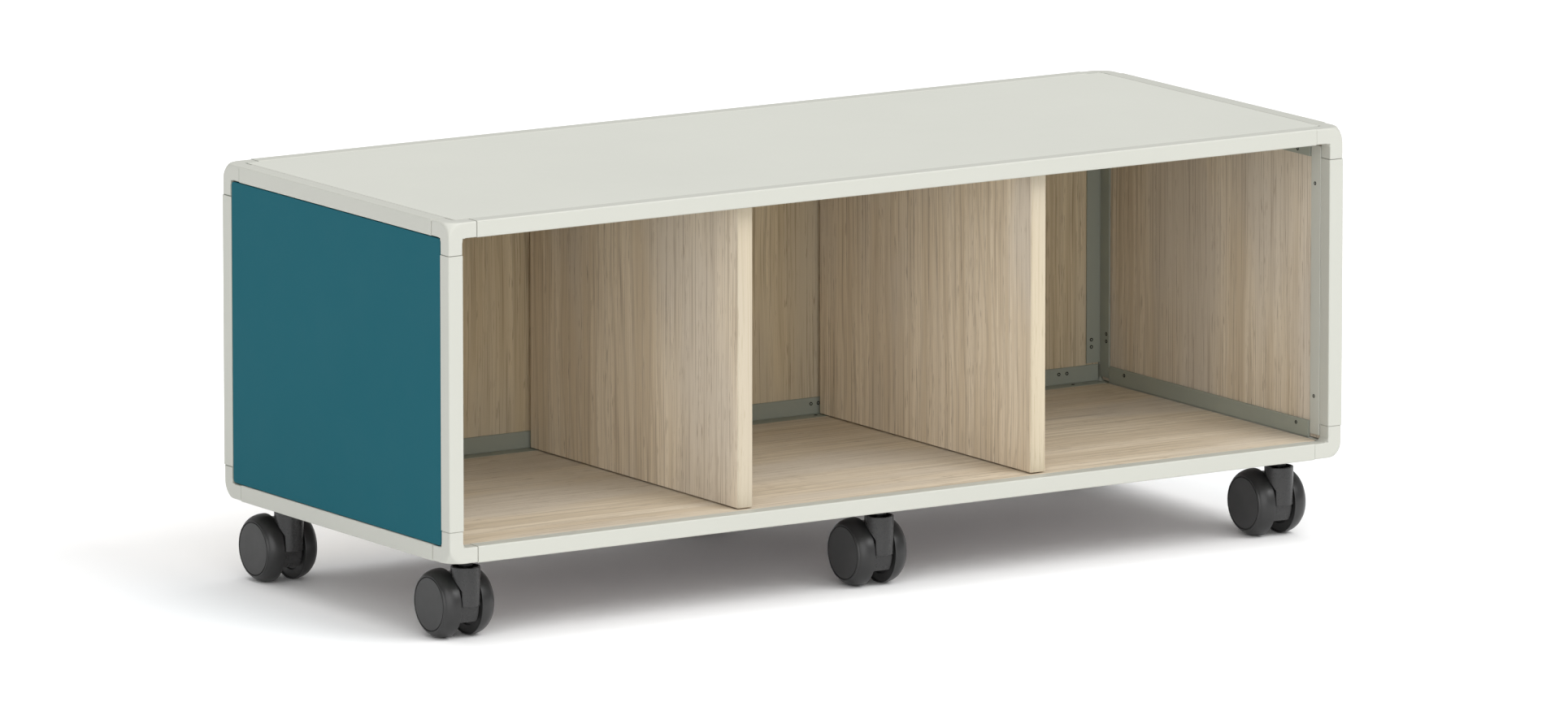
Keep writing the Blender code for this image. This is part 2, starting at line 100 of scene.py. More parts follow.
class Graph:
    """The node tree of one finish."""

    def __init__(self, name: str) -> None:
        """Start a material with a Principled shader and its output."""
        self.material = bpy.data.materials.new(name)
        self.material.use_nodes = True
        self.tree = self.material.node_tree
        self.shader = self.tree.nodes["Principled BSDF"]

    def node(self, kind: str, settings: dict | None = None, sockets: dict | None = None,
             output: int | str = 0) -> Sock:
        """Add any node.

        Args:
            kind: the node's type name, without the ShaderNode prefix.
            settings: properties of the node, and "stops" for a ramp, set first.
            sockets: values or links of its inputs, by name or number.
            output: which output is wanted, by name or number.

        Returns:
            The wanted output, ready for arithmetic.
        """
        made = self.tree.nodes.new("ShaderNode" + kind)
        for key, value in (settings or {}).items():
            if key == "stops":
                self.fill_ramp(made.color_ramp, value)
            else:
                setattr(made, key, value)
        for key, value in (sockets or {}).items():
            self.feed(made.inputs[key], value)
        return Sock(self, made.outputs[output])

    def fill_ramp(self, ramp: bpy.types.ColorRamp, stops: Sequence[tuple[float, Colour]]) -> None:
        """Give a colour ramp its stops.

        Args:
            ramp: the ramp to fill.
            stops: positions and colours in order.
        """
        while len(ramp.elements) < len(stops):
            ramp.elements.new(1.0)
        for element, (place, colour) in zip(ramp.elements, stops):
            element.position = place
            element.color = (*colour, 1.0)

    def feed(self, socket: bpy.types.NodeSocket, value: "Sock | float | Sequence[float]") -> None:
        """Link or set one input.

        Args:
            socket: the input.
            value: another node's output, or a constant.
        """
        if isinstance(value, Sock):
            self.tree.links.new(value.socket, socket)
        else:
            socket.default_value = value

    def math(self, operation: str, a: Sock | float, b: Sock | float = 0.0) -> Sock:
        """One Math node."""
        return self.node("Math", {"operation": operation}, {0: a, 1: b})

    def step(self, value: Sock, low: float, high: float) -> Sock:
        """A smooth mask that rises from 0 at low to 1 at high.

        Args:
            value: what is measured.
            low: where the mask starts.
            high: where the mask is full.

        Returns:
            The mask.
        """
        return self.node("MapRange", {"interpolation_type": "SMOOTHSTEP"},
                         {0: value, 1: low, 2: high, 3: 0.0, 4: 1.0})

    def vector(self, x: Sock | float, y: Sock | float, z: Sock | float) -> Sock:
        """Three values as one vector."""
        return self.node("CombineXYZ", None, {0: x, 1: y, 2: z})

    def axes(self) -> tuple[Sock, Sock, Sock]:
        """The three Object coordinates."""
        split = self.tree.nodes.new("ShaderNodeSeparateXYZ")
        self.feed(split.inputs[0], self.place())
        return tuple(Sock(self, socket) for socket in split.outputs)

    def noise(self, place: Sock, scale: float = 1.0, detail: float = 2.0,
              rough: float = 0.5) -> Sock:
        """Soft noise between about 0 and 1.

        Args:
            place: where it is read.
            scale: how many bumps a unit of place holds.
            detail: octaves.
            rough: strength of the finer octaves.

        Returns:
            The noise value.
        """
        return self.node("TexNoise", None, {
            "Vector": place, "Scale": scale, "Detail": detail, "Roughness": rough})

    def mix(self, share: Sock | float, a: Sock | Colour, b: Sock | Colour) -> Sock:
        """Blend two colours.

        Args:
            share: how much of b.
            a: the first colour.
            b: the second colour.

        Returns:
            The blended colour.
        """
        return self.node("Mix", {"data_type": "RGBA"}, {
            0: share, 6: a if isinstance(a, Sock) else (*a, 1.0),
            7: b if isinstance(b, Sock) else (*b, 1.0)}, 2)

    def bump(self, height: Sock, distance: float, strength: float) -> Sock:
        """A normal bent by a height.

        Args:
            height: the relief, 0 to 1.
            distance: metres that a height of 1 stands for.
            strength: share of the effect.

        Returns:
            The bent normal.
        """
        return self.node("Bump", None, {
            "Height": height, "Distance": distance, "Strength": strength})

    def place(self) -> Sock:
        """The Object coordinates as one vector."""
        return self.node("TexCoord", None, None, "Object")

    def surface(self, colour: Sock, roughness: Sock | float, normal: Sock | None = None,
                **constants: float) -> bpy.types.Material:
        """Feed the shader and give back the material.

        Args:
            colour: base colour.
            roughness: a value or a link.
            normal: a bent normal, if there is one.
            constants: shader inputs that are the same everywhere, underscores for spaces.

        Returns:
            The finished material.
        """
        self.feed(self.shader.inputs["Base Color"], colour)
        self.feed(self.shader.inputs["Roughness"], roughness)
        if normal is not None:
            self.feed(self.shader.inputs["Normal"], normal)
        for key, value in constants.items():
            self.shader.inputs[key.replace("_", " ")].default_value = value
        return self.material


# ---------------------------------------------------------------- finishes


def toned(colour: Colour, by: float) -> Colour:
    """A colour made lighter or darker, kept below full white."""
    return tuple(min(1.0, channel * by) for channel in colour)


class Grain(Enum):
    """Which way a board's wood figure runs."""

    ALONG_LENGTH = "x"
    UPRIGHT = "z"


@dataclass(frozen=True)
class Finish:
    """What every finish has in common."""

    def lay(self, g: Graph) -> bpy.types.Material:
        """Build the finish on a new shader; each finish has its own way."""
        raise NotImplementedError

    def make(self, name: str) -> bpy.types.Material:
        """Make the finish's material.

        Args:
            name: the material's name.

        Returns:
            The material.
        """
        return self.lay(Graph(name))


@dataclass(frozen=True)
class PowderCoat(Finish):
    """Baked-on paint with a faint orange peel and slight unevenness; its convex edges carry a
    painted highlight.
    """

    colour: Colour = (0.482, 0.487, 0.440)
    roughness: float = 0.42
    peel: float = 0.10

    def lay(self, g: Graph) -> bpy.types.Material:
        """Lay the paint on a new shader."""
        place = g.place()
        cloud = g.noise(place, 7.0, 3.0)
        speck = g.noise(place, 420.0, 2.0)
        peel = g.noise(place, 900.0, 2.0)
        convexity = g.node("NewGeometry", None, None, "Pointiness")
        rim = g.step(convexity, 0.52, 0.62)
        base = g.mix(cloud * 0.9, self.colour, toned(self.colour, 0.962))
        base = g.mix(g.step(speck, 0.66, 0.74) * 0.10, base, toned(self.colour, 0.80))
        # Painted highlight: convex edges, found by pointiness, are lightened towards a brighter
        # paint for the light they catch.
        base = g.mix(rim * 0.25, base, toned(self.colour, 1.12))
        rough = self.roughness + (cloud - 0.5) * 0.12 + (speck - 0.5) * 0.10
        return g.surface(base, rough, g.bump(peel, 0.00010, self.peel), Specular_IOR_Level=0.35)


@dataclass(frozen=True)
class Laminate(Finish):
    """Smooth melamine face of a board, with a fine pearl texture."""

    colour: Colour
    roughness: float = 0.48
    specular: float = 0.2

    def lay(self, g: Graph) -> bpy.types.Material:
        """Lay the laminate on a new shader."""
        place = g.place()
        cloud = g.noise(place, 3.2, 3.0)
        pearl = g.noise(place, 650.0, 2.0)
        smudge = g.noise(place, 14.0, 4.0, 0.6)
        base = g.mix(cloud, toned(self.colour, 1.025), toned(self.colour, 0.965))
        base = g.mix(g.step(pearl, 0.60, 0.72) * 0.10, base, toned(self.colour, 0.86))
        rough = self.roughness + (smudge - 0.5) * 0.14 + (pearl - 0.5) * 0.08
        return g.surface(base, rough, g.bump(pearl, 0.00008, 0.14),
                         Specular_IOR_Level=self.specular)


@dataclass(frozen=True)
class WoodFace(Finish):
    """Straight-grained greige wood with bands, fine dark lines and open pores."""

    grain: Grain
    seed: float
    shade: float = 1.0
    warmth: Colour = (1.0, 1.0, 1.0)
    light: Colour = (0.815, 0.715, 0.570)
    dark: Colour = (0.665, 0.560, 0.420)
    grey: Colour = (0.665, 0.600, 0.515)
    line: Colour = (0.330, 0.255, 0.180)
    contrast: float = 1.0

    def tint(self, colour: Colour) -> Colour:
        """A colour of the figure, scaled by the board's shade, which is partly its own tone and
        partly painted shade.
        """
        return tuple(channel * self.shade * warm for channel, warm in zip(colour, self.warmth))

    def layer(self, g: Graph, across: Sock, along: Sock, fine: float, run: float, turn: float,
              detail: float = 2.0, rough: float = 0.5) -> Sock:
        """Noise drawn out along the grain.

        Args:
            g: the graph it goes into.
            across: place across the grain.
            along: place along the grain.
            fine: features a metre across the grain.
            run: features a metre along it.
            turn: added to the board's seed.
            detail: octaves.
            rough: strength of the finer octaves.

        Returns:
            The noise value.
        """
        place = g.vector(across * fine, along * run, self.seed + turn)
        return g.noise(place, 1.0, detail, rough)

    def lay(self, g: Graph) -> bpy.types.Material:
        """Lay the wood on a new shader."""
        x, y, z = g.axes()
        along, across = (x, y + z * 0.9) if self.grain is Grain.ALONG_LENGTH else (z, x + y)
        slow = self.layer(g, across, along, 5.0, 1.6, 0.0, 3.0) - 0.5
        lane = across + slow * 0.020
        bands = self.layer(g, lane, along, 30.0, 0.9, 3.0)
        streaks = self.layer(g, lane, along, 150.0, 2.2, 7.0, 3.0, 0.6)
        hairs = self.layer(g, lane, along, 520.0, 4.0, 11.0, 3.0, 0.7)
        dashes = self.layer(g, lane, along, 760.0, 34.0, 17.0)
        figure = self.layer(g, across, along, 9.0, 2.0, 23.0)
        rings = g.math("SINE", lane * 330.0 + slow * 30.0) * 0.5 + 0.5
        force = self.contrast
        tone = g.step(bands * 0.5 + streaks * 0.5, 0.40, 0.61)
        base = g.mix(tone, self.tint(self.dark), self.tint(self.light))
        base = g.mix(g.step(figure, 0.44, 0.62) * 0.70, base, self.tint(self.grey))
        ringed = g.step(rings, 0.70, 1.0) * g.step(figure, 0.56, 0.40)
        base = g.mix(ringed * (0.20 * force), base, self.tint(self.line))
        base = g.mix(g.step(hairs, 0.52, 0.64) * (0.58 * force), base, self.tint(self.line))
        base = g.mix(g.step(streaks, 0.60, 0.70) * (0.22 * force), base, self.tint(self.line))
        pore = g.step(dashes, 0.58, 0.68) * g.step(streaks, 0.44, 0.60)
        base = g.mix(pore * (0.75 * force), base, self.tint(self.line))
        rough = 0.50 + (hairs - 0.5) * 0.18 + pore * 0.12
        relief = 1.0 - pore * 0.8 - hairs * 0.3
        return g.surface(base, rough, g.bump(relief, 0.00012, 0.25), Specular_IOR_Level=0.3)


@dataclass(frozen=True)
class MouldedPlastic(Finish):
    """Dark moulded plastic with a fine spark-eroded texture and light scuffs."""

    colour: Colour
    roughness: float
    scuff: float = 0.2

    def lay(self, g: Graph) -> bpy.types.Material:
        """Lay the plastic on a new shader."""
        place = g.place()
        cloud = g.noise(place, 24.0, 3.0)
        spark = g.noise(place, 1500.0, 2.0)
        worn = g.noise(place, 90.0, 5.0, 0.7)
        pale = tuple(channel * 1.9 + 0.01 for channel in self.colour)
        base = g.mix(cloud, toned(self.colour, 1.12), toned(self.colour, 0.90))
        base = g.mix(g.step(worn, 0.58, 0.80) * self.scuff, base, pale)
        rough = self.roughness + (worn - 0.5) * 0.16 + (spark - 0.5) * 0.06
        return g.surface(base, rough, g.bump(spark, 0.00006, 0.22))


@dataclass(frozen=True)
class PlatedSteel(Finish):
    """Zinc-plated or darkened steel with fine brushed marks."""

    colour: Colour
    roughness: float = 0.34

    def lay(self, g: Graph) -> bpy.types.Material:
        """Lay the metal on a new shader."""
        place = g.place()
        cloud = g.noise(place, 180.0, 3.0)
        x, y, z = g.axes()
        brushed = g.noise(g.vector(x * 300.0, y * 300.0, z * 4000.0), 1.0, 2.0)
        base = g.mix(cloud, self.colour, toned(self.colour, 0.72))
        rough = self.roughness + (brushed - 0.5) * 0.22 + (cloud - 0.5) * 0.10
        return g.surface(base, rough, g.bump(brushed, 0.00003, 0.25), Metallic=1.0)


@dataclass(frozen=True)
class PaleFloor(Finish):
    """The studio floor."""

    colour: Colour = (0.99, 0.99, 0.99)

    def lay(self, g: Graph) -> bpy.types.Material:
        """Lay the floor's finish on a new shader."""
        place = g.place()
        cloud = g.noise(place, 0.6, 2.0)
        base = g.mix(cloud, self.colour, toned(self.colour, 0.995))
        return g.surface(base, 0.9, None, Specular_IOR_Level=0.0)


class FinishBook:
    """Makes each finish once and hands it out by name."""

    def __init__(self) -> None:
        """Start with no finishes made."""
        self.made: dict[str, bpy.types.Material] = {}

    def get(self, name: str, finish: Finish) -> bpy.types.Material:
        """Give a finish's material, making it the first time.

        Args:
            name: the material's name.
            finish: what it is made from.

        Returns:
            The material.
        """
        if name not in self.made:
            self.made[name] = finish.make(name)
        return self.made[name]


# ---------------------------------------------------------------- mesh making


def far_side(span: Span, size: float, flip: int) -> Span:
    """A span measured from the far side when flip is set.

    Args:
        span: low and high distance from its own side.
        size: the frame's size along that axis.
        flip: 1 to measure from the far side.

    Returns:
        The span from the near side.
    """
    return (size - span[1], size - span[0]) if flip else span


def placed(spans: Sequence[Span], flips: Sequence[int]) -> list[Span]:
    """Three spans, each turned to the side it is measured from."""
    return [far_side(span, size, flip) for span, size, flip in zip(spans, SIZES, flips)]


def rounded_loop(u: Span, v: Span, radius: float, steps: int = 4) -> np.ndarray:
    """A rectangle with rounded corners, anticlockwise.

    Args:
        u: span along the first axis.
        v: span along the second axis.
        radius: corner radius.
        steps: segments in each corner.

    Returns:
        Points, one row each.
    """
    points = []
    corners = ((u[1], v[1], 0), (u[0], v[1], 1), (u[0], v[0], 2), (u[1], v[0], 3))
    for cu, cv, turn in corners:
        mid_u = cu - math.copysign(radius, cu - (u[0] + u[1]) / 2)
        mid_v = cv - math.copysign(radius, cv - (v[0] + v[1]) / 2)
        for step in range(steps + 1):
            angle = (turn + step / steps) * math.pi / 2
            points.append((mid_u + radius * math.cos(angle), mid_v + radius * math.sin(angle)))
    return np.array(points)


def lift_loop(loop: np.ndarray, axis: int, place: float) -> np.ndarray:
    """Stand a flat loop in space, square to an axis.

    Args:
        loop: flat points.
        axis: the axis the loop is square to.
        place: its position along that axis.

    Returns:
        Points in space.
    """
    others = [(axis + 1) % 3, (axis + 2) % 3]
    out = np.empty((len(loop), 3))
    out[:, axis] = place
    out[:, others[0]] = loop[:, 0]
    out[:, others[1]] = loop[:, 1]
    return out


@dataclass
class Shell:
    """Points and faces that grow into one piece's mesh."""

    points: list[np.ndarray] = field(default_factory=list)
    faces: list[tuple[int, ...]] = field(default_factory=list)
    slots: list[int] = field(default_factory=list)
    count: int = 0

    def loft(self, loops: Sequence[np.ndarray], ring: bool = False, caps: bool = True,
             slots: Sequence[int] | None = None) -> None:
        """Skin a row of loops.

        Args:
            loops: closed loops with equal point counts.
            ring: join the last loop to the first.
            caps: close both ends with a face.
            slots: material index of each band.
        """
        size, start = len(loops[0]), self.count
        self.points.append(np.vstack(loops))
        self.count += size * len(loops)
        bands = len(loops) if ring else len(loops) - 1
        for band in range(bands):
            low = start + band * size
            high = start + ((band + 1) % len(loops)) * size
            for i in range(size):
                j = (i + 1) % size
                self.faces.append((low + i, low + j, high + j, high + i))
                self.slots.append(slots[band] if slots else 0)
        if caps and not ring:
            last = start + (len(loops) - 1) * size
            self.faces.append(tuple(range(start + size - 1, start - 1, -1)))
            self.faces.append(tuple(range(last, last + size)))
            self.slots += [slots[0] if slots else 0, slots[-1] if slots else 0]

    def bar(self, spans: Sequence[Span], run: int, radius: float, end: float, wall: float = 0.0,
            steps: int = 4, slot: int = 0) -> None:
        """A straight bar with rounded edges, hollow if it has a wall.

        Args:
            spans: the three spans it fills.
            run: the axis it lies along.
            radius: edge radius along its length.
            end: size of the small chamfer at each end.
            wall: wall thickness, 0 for a solid bar.
            steps: segments in each rounded edge.
            slot: material index of the bar.
        """
        u, v = spans[(run + 1) % 3], spans[(run + 2) % 3]

        def loop(inset: float, corner: float, place: float) -> np.ndarray:
            """The outline, drawn in by an inset."""
            flat = rounded_loop((u[0] + inset, u[1] - inset), (v[0] + inset, v[1] - inset),
                                max(corner, 0.00005), steps)
            return lift_loop(flat, run, place)

        low, high = spans[run]
        rows = [loop(end, radius - end, low), loop(end * 0.3, radius - end * 0.3, low + end * 0.3),
                loop(0.0, radius, low + end), loop(0.0, radius, high - end),
                loop(end * 0.3, radius - end * 0.3, high - end * 0.3),
                loop(end, radius - end, high)]
        if wall:
            rows = [loop(wall, 0.0002, low)] + rows + [loop(wall, 0.0002, high)]
        self.loft(rows, ring=bool(wall), slots=[slot] * len(rows))

    def lathe(self, profile: Sequence[tuple[float, float]], centre: Point, axis: int, side: float,
              steps: int, slots: Sequence[int] | None = None) -> None:
        """A turned shape.

        Args:
            profile: radius and distance along the axis, from end to end.
            centre: where distance 0 is.
            axis: the axis it is turned about.
            side: 1 or -1, the way distance grows.
            steps: segments round it.
            slots: material index of each band.
        """
        angles = np.arange(steps) * 2 * math.pi / steps
        circle = np.stack([np.cos(angles), np.sin(angles)], axis=1)
        shift = [centre[(axis + 1) % 3], centre[(axis + 2) % 3]]
        loops = [lift_loop(circle * max(radius, 0.0002) + shift, axis, centre[axis] + side * place)
                 for radius, place in profile]
        self.loft(loops, slots=slots)

    def object(self, name: str, materials: Sequence[bpy.types.Material],
               sharp: float = 40.0) -> bpy.types.Object:
        """Make the piece, at the origin with its place in its mesh.

        Args:
            name: the piece's name.
            materials: its finishes.
            sharp: angle past which an edge stays sharp, degrees.

        Returns:
            The new object.
        """
        mesh = bpy.data.meshes.new(name)
        points = np.vstack(self.points) - ORIGIN
        mesh.from_pydata(points.tolist(), [], self.faces)
        for finish in materials:
            mesh.materials.append(finish)
        mesh.polygons.foreach_set("material_index", np.array(self.slots, dtype=np.int32))
        bm = bmesh.new()
        bm.from_mesh(mesh)
        bmesh.ops.remove_doubles(bm, verts=bm.verts, dist=0.000001)
        bmesh.ops.recalc_face_normals(bm, faces=bm.faces)
        bm.to_mesh(mesh)
        bm.free()
        return shaded(name, mesh, sharp)


def shaded(name: str, mesh: bpy.types.Mesh, sharp: float) -> bpy.types.Object:
    """Put a mesh in the scene, smooth but for its sharp edges.

    Args:
        name: the object's name.
        mesh: its mesh.
        sharp: angle past which an edge stays sharp, degrees.

    Returns:
        The object.
    """
    mesh.shade_smooth()
    mesh.set_sharp_from_angle(angle=math.radians(sharp))
    made = bpy.data.objects.new(name, mesh)
    bpy.context.scene.collection.objects.link(made)
    weigh = made.modifiers.new("even_shading", "WEIGHTED_NORMAL")
    weigh.keep_sharp = True
    weigh.weight = 60
    return made


def dress_side(item: bpy.types.Object, way: Point, finish: bpy.types.Material,
               steep: float = 0.5) -> None:
    """Give the faces that look one way a finish of their own.

    Args:
        item: the piece.
        way: the direction they look.
        finish: their material.
        steep: how squarely they have to look that way, 0 to 1.
    """
    if finish.name not in item.data.materials:
        item.data.materials.append(finish)
    slot = item.data.materials.find(finish.name)
    for face in item.data.polygons:
        if face.normal.dot(Vector(way)) > steep:
            face.material_index = slot


def baked(item: bpy.types.Object) -> bpy.types.Mesh:
    """The mesh an object evaluates to, as a plain mesh; the object itself is removed.

    Args:
        item: an object with live modifiers.

    Returns:
        The plain mesh.
    """
    bpy.context.view_layer.update()
    graph = bpy.context.evaluated_depsgraph_get()
    mesh = bpy.data.meshes.new_from_object(item.evaluated_get(graph))
    bpy.data.objects.remove(item, do_unlink=True)
    return mesh


def fit(item: bpy.types.Object, body: str, slot: str, *nodes: str) -> bpy.types.Object:
    """Tie a piece to the frame.

    Args:
        item: the piece.
        body: the body it moves with.
        slot: the record's finish it follows; not used.
        nodes: the frame's nodes it stands for.

    Returns:
        The piece.
    """
    if nodes:
        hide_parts(*nodes)
    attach(item, body)
    LOG.info("%s: %d faces, on %s", item.name, len(item.data.polygons), body)
    return item


# ---------------------------------------------------------------- the frame


def shaded_inner_coat(finishes: FinishBook) -> bpy.types.Material:
    """Painted shade: a darker copy of the frame paint for the fins and for the back pieces' faces
    that look into the bays, standing in for the shade there.
    """
    coat = PowderCoat(colour=(0.300, 0.320, 0.275), roughness=0.50, peel=0.16)
    return finishes.get("fin_powder_coat", coat)


@dataclass(frozen=True)
class Fin:
    """A flat strip along a tube that a board is screwed to."""

    spans: tuple[Span, Span, Span]
    radius: float = 0.0005


@dataclass
class TubeFrame:
    """Rails and posts of square tube with their fins."""

    finishes: FinishBook
    wall: float = 0.002
    edge: float = 0.0016
    end: float = 0.0004
    fin: float = 0.002
    reach: float = 0.0375
    upright_reach: float = 0.0385
    support_reach: float = 0.032
    ledge_reach: float = 0.0361
    start: float = 0.0191
    proud: float = 0.001
    long_fin_end: float = 0.0215
    side_fin_end: float = 0.0395
    post_fin_end: float = 0.024
    back_fin_end: float = 0.0405

    def full(self, axis: int, end: float) -> Span:
        """A span that leaves the same distance at both ends."""
        return (end, SIZES[axis] - end)

    def inner(self, proud: float = 0.0) -> Span:
        """Span across a fin that is flush with the tube's inner face, or stands proud of it."""
        return (TUBE - self.fin, TUBE + proud)

    def member(self, name: str, run: int, spans: Sequence[Span], flips: Sequence[int],
               fins: Iterable[Fin], fin_slot: int = 1) -> None:
        """Build one tube with its fins.

        Args:
            name: the node it stands for.
            run: the axis it lies along.
            spans: the spans the tube fills.
            flips: which axes are measured from the far side.
            fins: its fins, measured the same way.
            fin_slot: 1 for fins in the darker painted-shade coat, 0 for the outer one.
        """
        shell = Shell()
        shell.bar(placed(spans, flips), run, self.edge, self.end, self.wall, 5)
        for strip in fins:
            shell.bar(placed(strip.spans, flips), run, strip.radius, 0.0004, 0.0, 3, fin_slot)
        outer = self.finishes.get("frame_powder_coat", PowderCoat())
        shade_coat = shaded_inner_coat(self.finishes)
        item = shell.object(name + "_piece", [outer, shade_coat])
        # Painted shade: the back posts' faces that look into the bays take the darker coat.
        if run == 2 and flips[1]:
            dress_side(item, (-1.0 if flips[0] else 1.0, 0.0, 0.0), shade_coat, SQUARELY)
            dress_side(item, (0.0, -1.0, 0.0), shade_coat, SQUARELY)
        fit(item, CABINET, "frame_tube", name)

    def long_rails(self) -> None:
        """Front and back rails, bottom and top."""
        run = self.full(0, LEG)
        fin_run = self.full(0, self.long_fin_end)
        side = (0.0, TUBE)
        flat = Fin((fin_run, (self.start, self.reach), self.inner()))
        upright = Fin((fin_run, self.inner(), (self.start, self.upright_reach)))
        support = Fin((fin_run, (self.start, self.support_reach), (0.0, self.fin)))
        ledge = Fin((fin_run, (self.start, self.ledge_reach), self.inner()))
        spans = (run, side, side)
        self.member("front_bottom_rail", 0, spans, (0, 0, 0), [support])
        self.member("front_top_rail", 0, spans, (0, 0, 1), [flat])
        self.member("back_bottom_rail", 0, spans, (0, 1, 0), [upright, ledge])
        self.member("back_top_rail", 0, spans, (0, 1, 1), [upright, flat])

    def side_rails(self) -> None:
        """Left and right rails, bottom and top."""
        run = self.full(1, LEG)
        fin_run = self.full(1, self.side_fin_end)
        side = (0.0, TUBE)
        upright = Fin((self.inner(self.proud), fin_run, (self.start, self.upright_reach)), 0.0006)
        support = Fin(((self.start, self.support_reach), fin_run, (0.0, self.fin)))
        flat = Fin(((self.start, self.reach), fin_run, self.inner()))
        for label, flip in (("left", 0), ("right", 1)):
            spans = (side, run, side)
            self.member(label + "_bottom_rail", 1, spans, (flip, 0, 0), [upright, support])
            self.member(label + "_top_rail", 1, spans, (flip, 0, 1), [upright, flat])

    def posts(self) -> None:
        """Four posts; the back pair have a second fin for the back board."""
        side = (0.0, TUBE)
        reach = (self.start, self.reach)
        side_fin = Fin((self.inner(), reach, self.full(2, self.post_fin_end)))
        back_fin = Fin((reach, self.inner(), self.full(2, self.back_fin_end)))
        for label, flip in (("left", 0), ("right", 1)):
            for place, back in (("front", 0), ("back", 1)):
                fins = [side_fin, back_fin] if back else [side_fin]
                spans = (side, side, self.full(2, LEG))
                self.member(f"{place}_{label}_post", 2, spans, (flip, back, 0), fins, back)

    def build(self) -> None:
        """Build every tube."""
        self.long_rails()
        self.side_rails()
        self.posts()


@dataclass
class CornerCastings:
    """Eight three-legged corner castings, drawn onto their rounded surface."""

    finishes: FinishBook
    inset: float = 0.0005
    edge: float = 0.0013
    nose: float = 0.022
    fillet: float = 0.005
    blend: float = 0.0018
    gap: float = 0.0002
    passes: int = 7
    longest_move: float = 0.003

    def legs(self, p: np.ndarray) -> np.ndarray:
        """Signed distance of each point to the three square legs, their inner corners filleted.

        Args:
            p: points, one row each.

        Returns:
            Distances, negative inside.
        """
        ease = self.edge
        high = TUBE - self.inset - ease
        radius = self.fillet + ease
        inner = None
        for axis in range(3):
            q = np.delete(p, axis, axis=1) - high
            leg = np.linalg.norm(np.maximum(q, 0), axis=1) + np.minimum(q.max(axis=1), 0)
            if inner is None:
                inner = leg
            else:
                hollow = np.hypot(np.maximum(radius - inner, 0), np.maximum(radius - leg, 0))
                inner = np.maximum(radius, np.minimum(inner, leg)) - hollow
        outer = self.inset + ease - p
        ends = p.max(axis=1) - (LEG - self.gap - ease)
        sides = np.column_stack([inner, outer, ends])
        rounded = np.linalg.norm(np.maximum(sides, 0), axis=1)
        return rounded + np.minimum(sides.max(axis=1), 0) - ease

    def distance(self, p: np.ndarray) -> np.ndarray:
        """Signed distance to the whole casting, its outer point rounded off.

        Args:
            p: points, one row each.

        Returns:
            Distances, negative inside.
        """
        radius = (self.nose - self.inset) * math.sqrt(2)
        ball = np.linalg.norm(np.minimum(p - self.nose, 0), axis=1) - radius
        legs = self.legs(p)
        h = np.clip(0.5 - 0.5 * (legs - ball) / self.blend, 0, 1)
        return legs * (1 - h) + ball * h + self.blend * h * (1 - h)

    def settle(self, p: np.ndarray) -> np.ndarray:
        """Move points onto the casting's surface.

        Args:
            p: points near the surface.

        Returns:
            Points on it.
        """
        tiny = 0.00002
        for _ in range(self.passes):
            d = self.distance(p)
            slope = np.stack([self.distance(p + tiny * e) - self.distance(p - tiny * e)
                              for e in np.eye(3)], axis=1) / (2 * tiny)
            size = np.maximum((slope ** 2).sum(axis=1), 0.05)
            move = np.clip(d / size, -self.longest_move, self.longest_move)
            p = p - move[:, None] * slope
        return p

    def grid(self) -> tuple[np.ndarray, list[tuple[int, ...]]]:
        """Blocky start shape: the skin of a core cube and three legs, finely divided.

        Returns:
            Points and quads.
        """
        low, high, reach = self.inset, TUBE - self.inset, LEG - self.gap
        core_half = np.array([0, 0.03, 0.06, 0.09, 0.13, 0.18, 0.25, 0.33, 0.42])
        core_shares = np.concatenate([core_half, [0.5], 1 - core_half[::-1]])
        leg_shares = np.array([0.02, 0.05, 0.09, 0.14, 0.20, 0.27, 0.36, 0.46, 0.60, 0.75, 0.87,
                               0.94, 0.97, 0.985, 1.0])
        near = low + (high - low) * core_shares
        far = high + (reach - high) * leg_shares
        line = np.concatenate([near, far])
        cells = len(line) - 1
        core = len(near) - 1
        index = np.arange(cells)
        inside = index < core
        a, b, c = np.meshgrid(inside, inside, inside, indexing="ij")
        solid = (a & b) | (b & c) | (a & c)
        padded = np.pad(solid, 1)
        points: dict[tuple[int, int, int], int] = {}
        faces = []

        def number(key: tuple[int, int, int]) -> int:
            """The number of a grid point."""
            return points.setdefault(key, len(points))

        for axis in range(3):
            for side in (0, 1):
                shifted = np.roll(padded, 1 - 2 * side, axis=axis)[1:-1, 1:-1, 1:-1]
                for cell in np.argwhere(solid & ~shifted):
                    corner = cell.copy()
                    corner[axis] += side
                    u, v = np.eye(3, dtype=int)[[(axis + 1) % 3, (axis + 2) % 3]]
                    quad = [corner, corner + u, corner + u + v, corner + v]
                    faces.append(tuple(number(tuple(int(n) for n in q)) for q in quad))
        keys = np.array(list(points))
        return line[keys], faces

    def build(self) -> None:
        """Build the eight castings."""
        paint = self.finishes.get("corner_powder_coat", PowderCoat(
            colour=(0.489, 0.493, 0.447), roughness=0.40, peel=0.14))
        start, faces = self.grid()
        skin = self.settle(start)
        for level, sz in (("bottom", 1), ("top", -1)):
            for place, sy in (("front", 1), ("back", -1)):
                for label, sx in (("left", 1), ("right", -1)):
                    signs = np.array([sx, sy, sz])
                    base = np.array(SIZES) * (signs < 0)
                    shell = Shell([skin * signs + base], list(faces), [0] * len(faces), len(skin))
                    name = f"{place}_{label}_{level}_corner"
                    item = shell.object(name + "_piece", [paint], 60.0)
                    # Painted shade: the back castings' inward faces take the darker coat.
                    if sy < 0:
                        for way in ((sx, 0, 0), (0, sy, 0), (0, 0, sz)):
                            dress_side(item, way, shaded_inner_coat(self.finishes), BROADLY)
                    fit(item, CABINET, "frame_corner", name)


# ---------------------------------------------------------------- the boards


